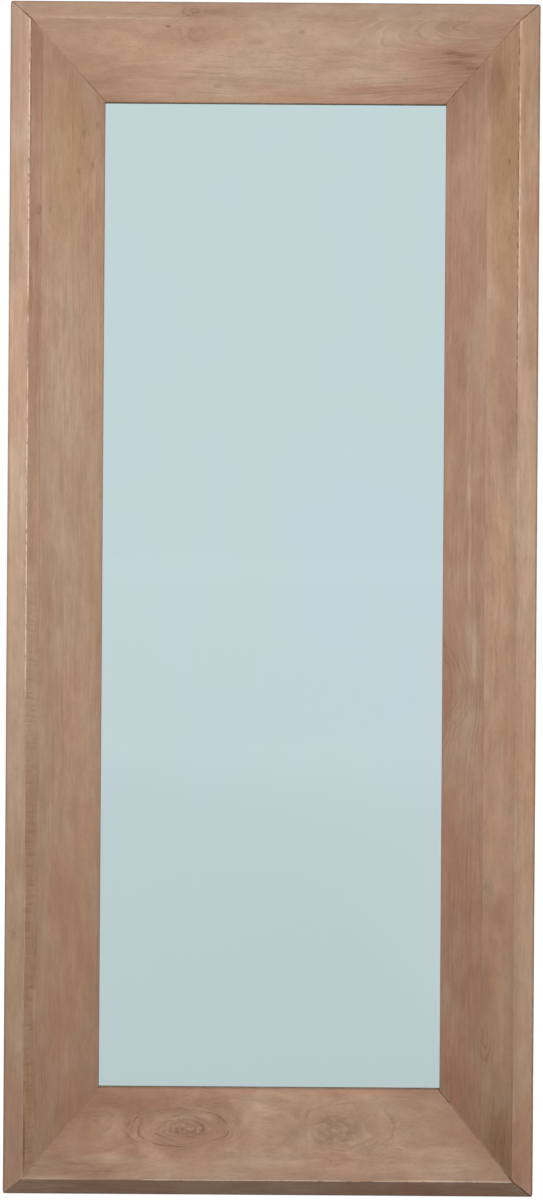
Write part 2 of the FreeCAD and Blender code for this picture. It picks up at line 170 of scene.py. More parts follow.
def give_finish(tree, colour, roughness, relief=None, strength=0.0, depth=0.0):
    """Gives the shader a colour, a roughness and perhaps a relief. Returns its inputs."""
    inputs = tree.nodes["Principled BSDF"].inputs
    tree.links.new(colour, inputs["Base Color"])
    tree.links.new(roughness, inputs["Roughness"])
    if relief is not None:
        bump = put(tree, "Bump", {"Strength": strength, "Distance": depth, "Height": relief})
        tree.links.new(bump.outputs[0], inputs["Normal"])
    return inputs


def srgb(red, green, blue):
    """A colour as it is seen, from 0 to 255 each, as the linear values that shaders take."""
    def linear(c):
        c /= 255
        return c / 12.92 if c <= 0.04045 else ((c + 0.055) / 1.055) ** 2.4
    return (linear(red), linear(green), linear(blue), 1.0)


def oval_distance(tree, taken, raggedness):
    """How far a place is from the middle of an oval, where 1 is its rim, with a ragged outline."""
    away = put(tree, "VectorMath", {0: taken["Vector"], 1: taken["Place"]}, operation="SUBTRACT")
    along, across = split(tree, away.outputs[0])[:2]
    along = maths(tree, "DIVIDE", along, taken["Long"])
    across = maths(tree, "DIVIDE", across, taken["Wide"])
    ragged = noise(tree, (along, across, taken["Long"]), (1.3, 1.3, 300.0))
    ragged = maths(tree, "MULTIPLY_ADD", ragged, raggedness, 1.0 - raggedness / 2)
    return along, across, times(tree, hypotenuse(tree, across, along), ragged)


def knot_group():
    """A knot: growth rings pushed aside, fine ovals round a brown eye, and a pale heart."""
    tree, taken, given = new_group(
        "knot",
        ("Vector", "Place", "Long", "Wide", "Push", "Ovals", "Eye Size"),
        ("Push", "Halo", "Ovals", "Eye", "Heart"),
    )
    along, across, distance = oval_distance(tree, taken, 0.45)
    halo = maths(tree, "EXPONENT", maths(tree, "MULTIPLY", times(tree, distance, distance), -1.0))
    turn = times(tree, distance, taken["Ovals"])
    ovals = noise(tree, (turn, along, across), (1.0, 0.5, 0.5), detail=3.0, roughness=0.6)
    seed = times(tree, taken["Long"], 300.0)
    broken = noise(tree, (along, across, turn), (1.6, 1.6, 0.25), seed)
    ovals = times(tree, fade(tree, ovals, 0.52, 0.62), fade(tree, broken, 0.42, 0.57, 0.05, 1.0))
    eye = fade(tree, distance, taken["Eye Size"], times(tree, taken["Eye Size"], 0.5))
    clot = noise(tree, (along, across, turn), (3.2, 3.2, 0.0))
    give(tree, given, {
        "Push": times(tree, halo, taken["Push"]),
        "Halo": halo,
        "Ovals": times(tree, ovals, fade(tree, distance, 1.15, 0.8)),
        "Eye": eye,
        "Heart": times(tree, fade(tree, clot, 0.5, 0.62), eye),
    })
    return tree


def stain_group():
    """A ragged soft-edged patch of another tone, even or broken into streaks."""
    tree, taken, given = new_group(
        "stain", ("Vector", "Place", "Long", "Wide", "Streaks", "Streaky"), ("Mask",)
    )
    patch = fade(tree, oval_distance(tree, taken, 0.9)[2], 1.1, 0.35)
    even = maths(tree, "SUBTRACT", 1.0, taken["Streaky"])
    broken = maths(tree, "MULTIPLY_ADD", taken["Streaks"], taken["Streaky"], even)
    tree.links.new(times(tree, patch, broken), given["Mask"])
    return tree


def sawn_grain_group():
    """The figure of a sawn plank: growth rings round a pith that leans along the plank, and
    streaks, flecks and pores that follow them. The vector is along, across and up from the back."""
    tree, taken, given = new_group(
        "sawn_grain",
        ("Vector", "Seed", "Pith Across", "Pith Depth", "Lean", "Lean From", "Ring Width",
         "Wander", "Waver", "Push"),
        ("Bands", "Rings", "Limed Rings", "Streaks", "Flecks", "Limed Flecks", "Pores", "Fibres",
         "Mottle", "Patches", "Clouds", "Life"),
    )
    place, seed = taken["Vector"], taken["Seed"]
    along, across, depth = split(tree, place)
    drift = split(tree, noise(tree, place, (2.4, 8.0, 8.0), seed, gives="Color"))
    finer = split(tree, noise(tree, place, (11.0, 34.0, 34.0), seed, gives="Color"))
    off_pith = []
    for part, far, near, pith in zip((across, depth), drift, finer, ("Pith Across", "Pith Depth")):
        far, near = maths(tree, "SUBTRACT", far, 0.5), maths(tree, "SUBTRACT", near, 0.5)
        part = maths(tree, "ADD", part, times(tree, near, taken["Waver"]))
        part = maths(tree, "MULTIPLY_ADD", far, taken["Wander"], part)
        off_pith.append(maths(tree, "SUBTRACT", part, taken[pith]))
    lean = maths(tree, "MAXIMUM", maths(tree, "SUBTRACT", along, taken["Lean From"]), 0.0)
    off_pith[1] = maths(tree, "SUBTRACT", off_pith[1], times(tree, lean, taken["Lean"]))
    ring = maths(tree, "DIVIDE", hypotenuse(tree, *off_pith), taken["Ring Width"])
    ring = maths(tree, "ADD", ring, taken["Push"])

    flow = (along, times(tree, ring, taken["Ring Width"]), across)
    for label, where, scales, detail, roughness, start, end in (
        ("Bands", (along, ring, 0.0), (2.4, 0.55, 0.0), 3.0, 0.62, 0.33, 0.67),
        ("Streaks", flow, (13.0, 360.0, 50.0), 3.0, 0.6, 0.32, 0.68),
        ("Pores", flow, (105.0, 2300.0, 1500.0), 1.0, 0.55, 0.6, 0.72),
        ("Mottle", flow, (26.0, 90.0, 45.0), 4.0, 0.6, 0.32, 0.68),
        ("Patches", place, (4.5, 17.0, 17.0), 3.0, 0.55, 0.35, 0.66),
    ):
        seen = noise(tree, where, scales, seed, detail, roughness)
        tree.links.new(fade(tree, seen, start, end), given[label])
    turn = maths(tree, "FRACT", ring)
    broken = noise(tree, (along, ring, across), (24.0, 0.9, 30.0), seed, 3.0)
    broken = fade(tree, broken, 0.40, 0.58, 0.12, 1.2)
    limed = times(tree, fade(tree, turn, 0.4, 0.04), fade(tree, turn, 0.0, 0.04), broken)
    flecks = noise(tree, flow, (55.0, 700.0, 260.0), seed)
    life = split(tree, noise(tree, place, (3.0, 14.0, 14.0), seed, gives="Color"))[2]
    give(tree, given, {
        "Rings": times(tree, maths(tree, "POWER", turn, 4.0), broken),
        "Limed Rings": limed,
        "Flecks": fade(tree, flecks, 0.56, 0.7),
        "Limed Flecks": fade(tree, flecks, 0.42, 0.30),
        "Fibres": noise(tree, flow, (20.0, 1500.0, 1100.0), seed, 4.0, 0.7),
        "Clouds": noise(tree, place, (9.0, 22.0, 22.0), seed, 4.0, 0.6),
        "Life": fade(tree, life, 0.36, 0.64),
    })
    return tree


# Each pair says how far from its line, in metres, an effect begins and where it is whole.
FRONT_FROM_BACK = (0.0115, 0.0145)
BEVEL_FROM_OUTSIDE = (0.0323, 0.0309)
SLOPE_FROM_OUTSIDE = (0.030, 0.036)
CORNER_SHADE_FROM_MITRE = (0.14, -0.02)
SEAM_FROM_MIDDLE = (0.024, 0.046)
SEAM_WIDENS = (0.055, 0.025)
SEAM_REACH = (0.0030, 0.0052)
GLUE_REACH = (0.0010, 0.0002)
WEAR_AND_HIGHLIGHT_REACH = (0.0012, 0.0004)
WEAR_AND_HIGHLIGHT_END = (0.03, -0.03)
CREASE_REACH = (0.0014, 0.0002)
RIDGE_SHADE_START, RIDGE_SHADE_END = (0.0006, 0.0016), (0.020, 0.004)
DARKENING_FROM_OUTSIDE = (0.0036, 0.0010)
DARKENING_REACH = (0.0045, 0.0015)
DARKENING_AT_SIGHT = (0.0012, 0.0002)
SHADE_AT_SIGHT = (0.011, 0.001)

# These are single lengths in metres.
MIDDLE_OF_MITRE = 0.076
RIDGE_WAVE = 0.0014
CREASE_PAST_RIDGE = 0.0021
DARKENING_BEHIND_ARRIS = 0.0016


def plank_edges_group():
    """Where a plank is joined, worn or darkened, and where highlight and shade are painted on it:
    mitres, glue line, ridge, outer arris, sight edge and the corners by the mitres.
    """
    tree, taken, given = new_group(
        "plank_edges",
        ("Vector", "Length", "Glue Line", "Seed", "Start Mitre", "End Mitre", "Wear And Highlight From",
         "Wear And Highlight To"),
        ("Face", "Band", "Slope", "Seam", "Glue", "Wear And Highlight", "Crease", "Edge Darkening", "Sight", "Ridge Shade",
         "Start Corner", "End Corner"),
    )
    place = taken["Vector"]
    along, across, depth = split(tree, place)
    breaks = noise(tree, place, (12.0, 60.0, 60.0), taken["Seed"], 4.0, 0.65)
    ragged = noise(tree, place, (90.0, 300.0, 300.0), taken["Seed"], 3.0, 0.6)
    front = fade(tree, depth, *FRONT_FROM_BACK)
    band = times(tree, fade(tree, across, *BEVEL_FROM_OUTSIDE), front)

    reach = times(tree, ragged, fade(tree, across, *SEAM_WIDENS, *SEAM_REACH))
    sloping = times(tree, fade(tree, across, *SLOPE_FROM_OUTSIDE), front)
    left_over = maths(tree, "SUBTRACT", taken["Length"], along)
    mitres = []
    # Painted shade on the slope near each mitre, where the slopes of two planks meet in a valley,
    # and the dark seam of the mitre itself.
    for end, from_end in (("Start", along), ("End", left_over)):
        past = maths(tree, "SUBTRACT", from_end, across)
        corner = times(tree, fade(tree, past, *CORNER_SHADE_FROM_MITRE), sloping)
        tree.links.new(corner, given[end + " Corner"])
        mitre = fade(tree, maths(tree, "ABSOLUTE", past), reach, 0.0)
        mitres.append(times(tree, mitre, taken[end + " Mitre"]))
    from_middle = away_from(tree, across, MIDDLE_OF_MITRE)
    gaping = times(tree, fade(tree, from_middle, *SEAM_FROM_MIDDLE, 0.50, 1.0),
                   fade(tree, breaks, 0.42, 0.56, 0.55, 1.0))
    glue = fade(tree, away_from(tree, across, taken["Glue Line"]), *GLUE_REACH)

    # The pale broken line along the ridge is partly wear and partly painted highlight.
    waved = maths(tree, "MULTIPLY_ADD", ragged, RIDGE_WAVE, across)
    off_ridge = maths(tree, "SUBTRACT", waved, RIDGE_SETBACK + RIDGE_WAVE / 2)
    wear_and_highlight = fade(tree, maths(tree, "ABSOLUTE", off_ridge), *WEAR_AND_HIGHLIGHT_REACH)
    wear_and_highlight = times(tree, wear_and_highlight, fade(tree, breaks, 0.38, 0.50), fade(tree, ragged, 0.36, 0.48))
    before = maths(tree, "SUBTRACT", taken["Wear And Highlight From"], along)
    before = fade(tree, before, *WEAR_AND_HIGHLIGHT_END, 0.2, 1.0)
    after = maths(tree, "SUBTRACT", along, taken["Wear And Highlight To"])
    after = fade(tree, after, *WEAR_AND_HIGHLIGHT_END, 0.2, 1.0)
    # A thin line of painted shade in the crease just past the ridge.
    crease = fade(tree, away_from(tree, off_ridge, CREASE_PAST_RIDGE), *CREASE_REACH)
    # Painted shade: a soft darkening of the slope just inside the ridge.
    ridge_shade = times(tree, fade(tree, off_ridge, *RIDGE_SHADE_START), fade(tree, off_ridge, *RIDGE_SHADE_END))

    # Darker along the outer arris and, more faintly, at the sight edge.
    off_arris = away_from(tree, depth, SIDE_DEPTH - DARKENING_BEHIND_ARRIS)
    edge_darkening = times(tree, fade(tree, across, *DARKENING_FROM_OUTSIDE),
                  fade(tree, off_arris, *DARKENING_REACH))
    off_sight = maths(tree, "SUBTRACT", RAIL_WIDTH, across)
    edge_darkening = maths(tree, "MAXIMUM", edge_darkening, fade(tree, off_sight, *DARKENING_AT_SIGHT, 0.0, 0.35))
    give(tree, given, {
        "Face": maths(tree, "MULTIPLY_ADD", band, -0.6, 1.0),
        "Band": band,
        "Slope": maths(tree, "SUBTRACT", front, band),
        "Seam": times(tree, maths(tree, "MAXIMUM", *mitres), gaping),
        "Glue": times(tree, glue, fade(tree, breaks, 0.4, 0.6)),
        "Wear And Highlight": times(tree, wear_and_highlight, before, after, front),
        "Crease": times(tree, crease, fade(tree, ragged, 0.42, 0.58), front),
        "Edge Darkening": times(tree, edge_darkening, fade(tree, ragged, 0.3, 0.6, 0.6, 1.0)),
        "Sight": fade(tree, off_sight, *SHADE_AT_SIGHT),
        "Ridge Shade": times(tree, ridge_shade, front),
    })
    return tree


KNOT = knot_group()
STAIN = stain_group()
GRAIN = sawn_grain_group()
EDGES = plank_edges_group()
DEEP_WOOD = srgb(110, 78, 58)
KNOT_WOOD = srgb(112, 80, 60)
WARM_WOOD = srgb(190, 148, 118)
RED_WOOD = srgb(166, 120, 97)
GOLD_WOOD = srgb(168, 135, 97)
PALE_WOOD = srgb(192, 165, 141)
WASH_WHITE = srgb(192, 172, 152)
WORN_AND_HIGHLIT_WOOD = srgb(234, 210, 186)
SEAM_BROWN = srgb(72, 52, 41)
LIVELY_BLEND = 0.04
CREASE_BLEND = 0.12
RIPPLE_SLANT = 0.2
RIPPLE_SCALES = (175.0, 26.0, 26.0)
RIPPLE_UP_THE_STILE = (1.10, 0.70)
RIPPLE_FROM_OUTSIDE = (0.0495, 0.0415)


def plank_place(tree, place, side):
    """Along the plank, in from the frame's outer edge and up from its back, in metres."""
    x, y, z = split(tree, place)
    from_left = maths(tree, "ADD", x, FRAME_WIDTH / 2)
    along, across = {
        "left": (z, from_left),
        "right": (z, maths(tree, "SUBTRACT", FRAME_WIDTH / 2, x)),
        "top": (from_left, maths(tree, "SUBTRACT", FRAME_HEIGHT, z)),
        "bottom": (from_left, z),
    }[side]
    return vector_of(tree, along, across, maths(tree, "SUBTRACT", BACK_Y, y))


def washed_wood(name, side, pale, middle, grain, figure, rings=0.18, stains=(), knots=(),
                seams=(1.0, 1.0), glue_line=-1.0, wear_and_highlight=0.7, wear_and_highlight_span=(-9.0, 9.0), crease=0.35,
                crease_from=-9.0, ridge_shade=0.08, band=0.0, corner_shade=(0.2, 0.2), edge_darkening=0.7,
                lively_from=9.0, curl=0.0, streaks=0.11, fleck=0.12):
    """The whitewashed wood of one plank, with its own figure, knots and stains, darker lines along
    its outer arris and sight edge, and a pale ridge line that is partly wear and partly painted
    highlight.
    Painted shade darkens its outer bevel, the slope inside its ridge, the crease past it, the slope
    near the sight edge and the corners by its mitres, and a few stains on the outer bevels are
    painted light and shade. A stain is its tone, how strong and how streaky it is, its place, and
    its half length and half width in metres."""
    made, tree, place = new_material(name)
    place = plank_place(tree, place, side)
    along, across, depth = split(tree, place)

    push = 0.0
    knotty = dict.fromkeys(("Halo", "Ovals", "Eye", "Heart"), 0.0)
    for settings, tone in knots:
        seen = put(tree, "Group", {"Vector": place, **settings}, node_tree=KNOT).outputs
        push = maths(tree, "ADD", push, seen["Push"])
        knotty = {label: maths(tree, "MAXIMUM", mask, times(tree, seen[label], tone))
                  for label, mask in knotty.items()}
    seen = put(tree, "Group", {"Vector": place, "Push": push, **grain}, node_tree=GRAIN).outputs
    length = FRAME_HEIGHT if side in ("left", "right") else FRAME_WIDTH
    settings = {"Vector": place, "Length": length, "Glue Line": glue_line, "Seed": grain["Seed"],
                "Start Mitre": seams[0], "End Mitre": seams[1],
                "Wear And Highlight From": wear_and_highlight_span[0], "Wear And Highlight To": wear_and_highlight_span[1]}
    edges = put(tree, "Group", settings, node_tree=EDGES).outputs

    colour = tinted_in_turn(tree, pale, (
        (seen["Bands"], figure, middle),
        (seen["Patches"], 0.35, RED_WOOD),
    ))
    for tone, amount, streaky, where, long, wide in stains:
        settings = {"Vector": place, "Place": (*where, 0.0), "Long": long, "Wide": wide,
                    "Streaks": seen["Streaks"], "Streaky": streaky}
        mask = put(tree, "Group", settings, node_tree=STAIN).outputs["Mask"]
        side_of_ridge = edges["Band"] if where[1] < RIDGE_SETBACK else edges["Slope"]
        colour = tinted(tree, colour, times(tree, mask, side_of_ridge, amount), tone)
    # Painted shade: the outer bevel is darkened by the amount band.
    colour = tinted(tree, colour, times(tree, edges["Band"], band), DEEP_WOOD)

    lively = fade(tree, along, lively_from - LIVELY_BLEND, lively_from + LIVELY_BLEND)
    lively = maths(tree, "MAXIMUM", maths(tree, "MULTIPLY_ADD", seen["Life"], 0.75, 0.25), lively)
    strength = maths(tree, "MULTIPLY_ADD", seen["Bands"], 0.7, 0.3)
    strength = times(tree, strength, edges["Face"], rings, lively)
    flecks = times(tree, seen["Life"], fleck)
    for rings_seen, flecks_seen, tone in (("Rings", "Flecks", DEEP_WOOD),
                                          ("Limed Rings", "Limed Flecks", WASH_WHITE)):
        lines = times(tree, seen[rings_seen], strength)
        lines = maths(tree, "MULTIPLY_ADD", seen[flecks_seen], flecks, lines)
        colour = tinted(tree, colour, lines, tone)
    if knots:
        colour = tinted_in_turn(tree, colour, (
            (knotty["Halo"], 0.20, KNOT_WOOD),
            (knotty["Ovals"], 0.46, KNOT_WOOD),
            (knotty["Eye"], 0.34, KNOT_WOOD),
            (knotty["Heart"], 0.28, PALE_WOOD),
        ))
    if curl:
        slanted = maths(tree, "MULTIPLY_ADD", across, RIPPLE_SLANT, along)
        ripple = fade(tree, noise(tree, (slanted, across, depth), RIPPLE_SCALES, detail=1.0),
                      0.46, 0.62)
        ripple = times(tree, ripple, fade(tree, along, *RIPPLE_UP_THE_STILE))
        ripple = times(tree, ripple, fade(tree, seen["Clouds"], 0.38, 0.56, 0.3, 1.0), curl)
        ripple = times(tree, ripple, fade(tree, across, *SLOPE_FROM_OUTSIDE, 0.2, 1.0))
        ripple = times(tree, ripple, fade(tree, across, *RIPPLE_FROM_OUTSIDE))
        colour = tinted(tree, colour, ripple, DEEP_WOOD)
    colour = tinted(tree, colour, fade(tree, seen["Clouds"], 0.42, 0.7, 0.0, 0.26), WASH_WHITE)

    swing = times(tree, maths(tree, "MULTIPLY_ADD", seen["Life"], 1.1, 0.3), streaks)
    light = maths(tree, "SUBTRACT", seen["Streaks"], 0.5)
    light = maths(tree, "MULTIPLY_ADD", light, swing, 1.0)
    light = times(tree, light, maths(tree, "MULTIPLY_ADD", seen["Mottle"], 0.12, 0.94))
    light = times(tree, light, fade(tree, seen["Fibres"], 0.3, 0.7, 0.96, 1.04))
    light = put(tree, "CombineColor", {0: light, 1: light, 2: light}).outputs[0]
    colour = tinted(tree, colour, 1.0, light, "MULTIPLY")

    creased = fade(tree, along, crease_from - CREASE_BLEND, crease_from + CREASE_BLEND)
    colour = tinted_in_turn(tree, colour, (
        (seen["Pores"], 0.26, SEAM_BROWN),
        (edges["Sight"], 0.30, RED_WOOD),
        # Painted shade inside the ridge.
        (edges["Ridge Shade"], ridge_shade, DEEP_WOOD),
        # Painted shade in the corners by the mitres.
        (edges["Start Corner"], corner_shade[0], DEEP_WOOD),
        (edges["End Corner"], corner_shade[1], DEEP_WOOD),
        # Painted shade in the crease past the ridge.
        (times(tree, edges["Crease"], creased), crease, DEEP_WOOD),
        # The pale ridge line: partly wear, partly painted highlight.
        (edges["Wear And Highlight"], wear_and_highlight, WORN_AND_HIGHLIT_WOOD),
        (edges["Glue"], 0.22, SEAM_BROWN),
        (edges["Seam"], 0.85, SEAM_BROWN),
        # Darker along the outer arris and the sight edge.
        (edges["Edge Darkening"], edge_darkening, SEAM_BROWN),
    ))
    roughness = maths(tree, "MULTIPLY_ADD", seen["Clouds"], 0.16, 0.56)
    relief = maths(tree, "MULTIPLY_ADD", seen["Fibres"], 0.5, times(tree, seen["Pores"], -0.8))
    relief = maths(tree, "MULTIPLY_ADD", seen["Rings"], -0.4, relief)
    relief = maths(tree, "MULTIPLY_ADD", edges["Seam"], -1.6, relief)
    inputs = give_finish(tree, colour, roughness, relief, strength=0.5, depth=0.00025)
    inputs["Specular IOR Level"].default_value = 0.3
    return made


def sawn(seed, pith, lean, ring_width, wander, waver):
    """How a plank's figure lies: its pith across and up from the back, how much it leans and from
    where, the width of its rings, and how far they wander in long and in short waves."""
    return {"Seed": seed, "Pith Across": pith[0], "Pith Depth": pith[1], "Lean": lean[0],
            "Lean From": lean[1], "Ring Width": ring_width, "Wander": wander, "Waver": waver}


def knot(along, across, long, wide, push, ovals, eye, tone):
    """A knot's place, half length and half width, how it pushes the rings aside, the number of
    its ovals, the size of its eye, and how dark it is."""
    settings = {"Place": (along, across, 0.0), "Long": long, "Wide": wide, "Push": push,
                "Ovals": ovals, "Eye Size": eye}
    return settings, tone


def pin_knot(along, across, tone, size=0.006):
    """A knot no bigger than a match head."""
    return knot(along, across, size, size * 0.38, push=0.4, ovals=2.0, eye=1.3, tone=tone)


def dress(node, material):
    """Gives a CAD node its material."""
    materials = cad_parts[node].data.materials
    materials.clear()
    materials.append(material)


dress("top_rail", washed_wood(
    "top_rail_wood", "top", srgb(186, 155, 130), srgb(168, 133, 108),
    sawn(3.1, pith=(0.033, 0.030), lean=(0.25, 0.515), ring_width=0.006,
         wander=0.009, waver=0.010),
    figure=0.35, rings=0.34, wear_and_highlight=0.22, wear_and_highlight_span=(0.08, 0.26), crease=0.1, band=0.38, edge_darkening=0.85,
    corner_shade=(0.29, 0.27), lively_from=0.50, streaks=0.06, fleck=0.07,
    knots=[
        knot(0.276, 0.018, 0.020, 0.012, push=0.9, ovals=4.0, eye=0.6, tone=1.3),
        knot(0.283, 0.050, 0.030, 0.016, push=0.8, ovals=3.0, eye=0.7, tone=0.45),
        pin_knot(0.237, 0.041, 1.8, 0.0038),
        pin_knot(0.438, 0.047, 0.7, 0.0045),
        pin_knot(0.309, 0.113, 0.8, 0.0075),
    ],
    stains=[
        (PALE_WOOD, 0.60, 0.2, (0.330, 0.084), 0.150, 0.026),
        (RED_WOOD, 0.35, 0.1, (0.270, 0.052), 0.090, 0.016),
        (PALE_WOOD, 0.28, 0.2, (0.560, 0.100), 0.110, 0.018),
        (PALE_WOOD, 0.38, 0.2, (0.130, 0.013), 0.210, 0.028),
        (PALE_WOOD, 0.38, 0.2, (0.590, 0.013), 0.240, 0.026),
        (PALE_WOOD, 0.30, 0.2, (0.430, 0.058), 0.110, 0.034),
        # A pale line on the ridge: partly wear, partly painted highlight.
        (WORN_AND_HIGHLIT_WOOD, 0.26, 0.6, (0.170, 0.0318), 0.085, 0.0013),
        (DEEP_WOOD, 0.12, 0.2, (0.130, 0.043), 0.090, 0.016),
        (DEEP_WOOD, 0.38, 0.4, (0.308, 0.020), 0.024, 0.008),
        (DEEP_WOOD, 0.32, 0.8, (0.370, 0.108), 0.085, 0.011),
        (DEEP_WOOD, 0.18, 0.9, (0.150, 0.110), 0.060, 0.008),
        (RED_WOOD, 0.60, 0.2, (0.570, 0.118), 0.110, 0.010),
        (DEEP_WOOD, 0.40, 1.0, (0.690, 0.076), 0.060, 0.024),
        (DEEP_WOOD, 0.35, 1.0, (0.660, 0.044), 0.100, 0.020),
        (DEEP_WOOD, 0.35, 0.9, (0.620, 0.018), 0.110, 0.012),
        (RED_WOOD, 0.50, 0.3, (0.665, 0.086), 0.085, 0.042),
        (DEEP_WOOD, 0.50, 0.2, (0.666, 0.0705), 0.018, 0.0028),
        (DEEP_WOOD, 0.55, 0.2, (0.689, 0.0735), 0.022, 0.0032),
        (DEEP_WOOD, 0.45, 0.2, (0.679, 0.0830), 0.030, 0.0028),
        (DEEP_WOOD, 0.50, 0.2, (0.702, 0.0890), 0.020, 0.0036),
    ],
))


# Bottom rail
# One plank like the top rail, mitred and glued to the stiles. It has two knots, the left one
# ringed with fine dark ovals, and its outer bevel is darkened with painted shade.

dress("bottom_rail", washed_wood(
    "bottom_rail_wood", "bottom", srgb(174, 142, 119), srgb(155, 119, 96),
    sawn(7.7, pith=(0.020, -0.060), lean=(-0.03, 0.4), ring_width=0.0068,
         wander=0.010, waver=0.006),
    figure=0.35, rings=0.13, seams=(0.30, 1.4), wear_and_highlight=0.6, wear_and_highlight_span=(0.17, 9.0), crease=0.1,
    band=0.34, corner_shade=(0.34, 0.27), edge_darkening=0.85, streaks=0.15,
    knots=[
        knot(0.264, 0.088, 0.088, 0.0260, push=3.0, ovals=22.0, eye=0.01, tone=1.4),
        knot(0.277, 0.0895, 0.034, 0.0135, push=1.0, ovals=5.0, eye=1.0, tone=1.1),
        knot(0.4975, 0.0893, 0.040, 0.0200, push=1.8, ovals=6.0, eye=1.1, tone=1.0),
        knot(0.520, 0.089, 0.085, 0.036, push=1.6, ovals=10.0, eye=0.01, tone=0.6),
    ],
    stains=[
        (PALE_WOOD, 0.20, 0.3, (0.386, 0.100), 0.060, 0.030),
        (RED_WOOD, 0.35, 0.2, (0.140, 0.075), 0.110, 0.032),
        (PALE_WOOD, 0.75, 0.4, (0.150, 0.053), 0.055, 0.008),
        (PALE_WOOD, 0.45, 0.1, (0.155, 0.095), 0.030, 0.020),
        (DEEP_WOOD, 0.30, 0.4, (0.330, 0.106), 0.030, 0.018),
        (RED_WOOD, 0.60, 0.2, (0.235, 0.120), 0.065, 0.013),
        (DEEP_WOOD, 0.60, 1.0, (0.130, 0.044), 0.080, 0.014),
        (DEEP_WOOD, 0.34, 0.5, (0.460, 0.058), 0.024, 0.005),
        (PALE_WOOD, 0.24, 0.2, (0.355, 0.046), 0.055, 0.016),
        (PALE_WOOD, 0.32, 0.2, (0.370, 0.012), 0.200, 0.026),
        (GOLD_WOOD, 0.35, 0.2, (0.150, 0.088), 0.040, 0.030),
        (DEEP_WOOD, 0.32, 0.2, (0.215, 0.116), 0.150, 0.022),
        (DEEP_WOOD, 0.22, 0.2, (0.448, 0.076), 0.030, 0.020),
        (PALE_WOOD, 0.24, 0.2, (0.580, 0.112), 0.045, 0.020),
        # A pale line on the ridge: partly wear, partly painted highlight.
        (WORN_AND_HIGHLIT_WOOD, 0.55, 0.3, (0.665, 0.0318), 0.090, 0.0013),
        (PALE_WOOD, 0.25, 0.2, (0.650, 0.055), 0.090, 0.022),
    ],
))


# Left stile
# Two planks glued edge to edge along the whole height. The outer one carries the ridge and has a
# rippled figure in its lower half; the inner one slopes on to the glass.

LEFT_GLUE_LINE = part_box("left_stile_ridge_stave")[1].x + FRAME_WIDTH / 2

dress("left_stile_ridge_stave", washed_wood(
    "left_ridge_wood", "left", srgb(182, 153, 129), srgb(164, 131, 107),
    sawn(1.3, pith=(-0.060, 0.030), lean=(0.004, 0.9), ring_width=0.0058,
         wander=0.016, waver=0.003),
    figure=0.35, seams=(0.25, 1.0), glue_line=LEFT_GLUE_LINE, wear_and_highlight=0.95, wear_and_highlight_span=(0.72, 9.0),
    crease=0.5, crease_from=1.45, corner_shade=(0.0, 0.26), edge_darkening=0.5, curl=0.28, streaks=0.09,
    knots=[
        knot(1.484, 0.044, 0.012, 0.005, push=0.5, ovals=2.5, eye=0.8, tone=0.9),
        knot(0.395, 0.0115, 0.012, 0.006, push=0.6, ovals=2.5, eye=0.8, tone=0.5),
    ],
    stains=[
        (RED_WOOD, 0.66, 0.2, (1.48, 0.042), 0.56, 0.034),
        (WARM_WOOD, 0.24, 0.2, (0.78, 0.042), 0.40, 0.034),
        (RED_WOOD, 0.70, 0.1, (0.26, 0.042), 0.46, 0.034),
        (GOLD_WOOD, 0.22, 0.1, (0.22, 0.042), 0.40, 0.034),
        (WARM_WOOD, 0.26, 0.1, (0.15, 0.042), 0.34, 0.034),
        (DEEP_WOOD, 0.14, 0.3, (1.60, 0.041), 0.40, 0.034),
        (GOLD_WOOD, 0.42, 0.2, (0.38, 0.012), 0.20, 0.022),
        (RED_WOOD, 0.44, 0.1, (0.06, 0.012), 0.22, 0.030),
        (PALE_WOOD, 0.16, 0.2, (0.40, 0.012), 0.10, 0.022),
        # Painted shade: darkens the top of the outer bevel.
        (DEEP_WOOD, 0.30, 0.2, (1.68, 0.010), 0.36, 0.024),
        (DEEP_WOOD, 0.22, 0.2, (1.41, 0.010), 0.06, 0.022),
        # A pale line on the ridge: partly wear, partly painted highlight.
        (WORN_AND_HIGHLIT_WOOD, 0.50, 0.6, (0.41, 0.0318), 0.080, 0.0013),
        # A dark line just past the ridge near the foot: painted shade.
        (DEEP_WOOD, 0.85, 0.3, (0.082, 0.0328), 0.060, 0.0022),
        (PALE_WOOD, 0.26, 0.1, (1.00, 0.010), 0.50, 0.022),
        (WORN_AND_HIGHLIT_WOOD, 0.30, 0.6, (1.47, 0.0493), 0.24, 0.0011),
    ],
))
